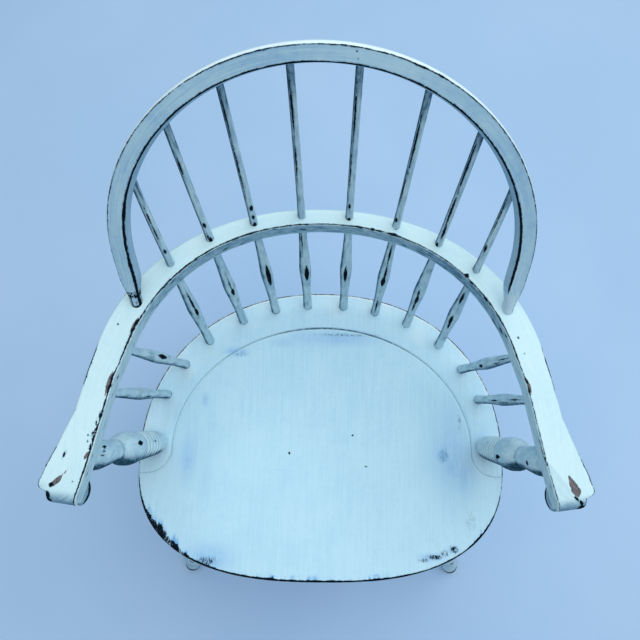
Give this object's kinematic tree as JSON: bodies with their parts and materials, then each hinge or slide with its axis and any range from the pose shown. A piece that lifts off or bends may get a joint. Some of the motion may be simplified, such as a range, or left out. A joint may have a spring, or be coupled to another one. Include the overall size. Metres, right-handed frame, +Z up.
{
  "type": "windsor armchair",
  "caption": "Sack-back windsor armchair with a saddled oval seat, bent arm rail with rolled hand-holds, a high bow, turned posts and splayed turned legs, in worn white paint",
  "frame": {"origin": "on the floor, under the middle of the chair's outline in plan", "axes": "+Z up; the sitter faces -Y; +X is the right side for someone who looks at the chair from the front"},
  "size_m": [0.5702, 0.506, 0.9647],
  "materials": {
    "seat_paint": "worn white paint with a cool cast, rubbed to dark wood at the edges",
    "rail_paint": "worn white paint, rubbed to dark wood along the edges",
    "bow_paint": "worn grey-white paint with dark rubbed edges",
    "turned_paint": "worn grey-white paint with dark rubbed spots on the turnings"
  },
  "bodies": {
    "root": {"seat": "seat_paint", "leg_front_left": "turned_paint", "leg_front_right": "turned_paint", "leg_rear_left": "turned_paint", "leg_rear_right": "turned_paint", "stretcher_side_left": "turned_paint", "stretcher_side_right": "turned_paint", "stretcher_center": "turned_paint", "arm_rail": "rail_paint", "hand_scroll_left": "rail_paint", "hand_scroll_right": "rail_paint", "bow": "bow_paint", "arm_post_left": "turned_paint", "arm_post_right": "turned_paint", "long_spindle_1": "turned_paint", "long_spindle_2": "turned_paint", "long_spindle_3": "turned_paint", "long_spindle_4": "turned_paint", "long_spindle_5": "turned_paint", "long_spindle_6": "turned_paint", "long_spindle_7": "turned_paint", "long_spindle_8": "turned_paint", "short_spindle_left_rear": "turned_paint", "short_spindle_left_front": "turned_paint", "short_spindle_right_rear": "turned_paint", "short_spindle_right_front": "turned_paint"}
  },
  "joints": []
}
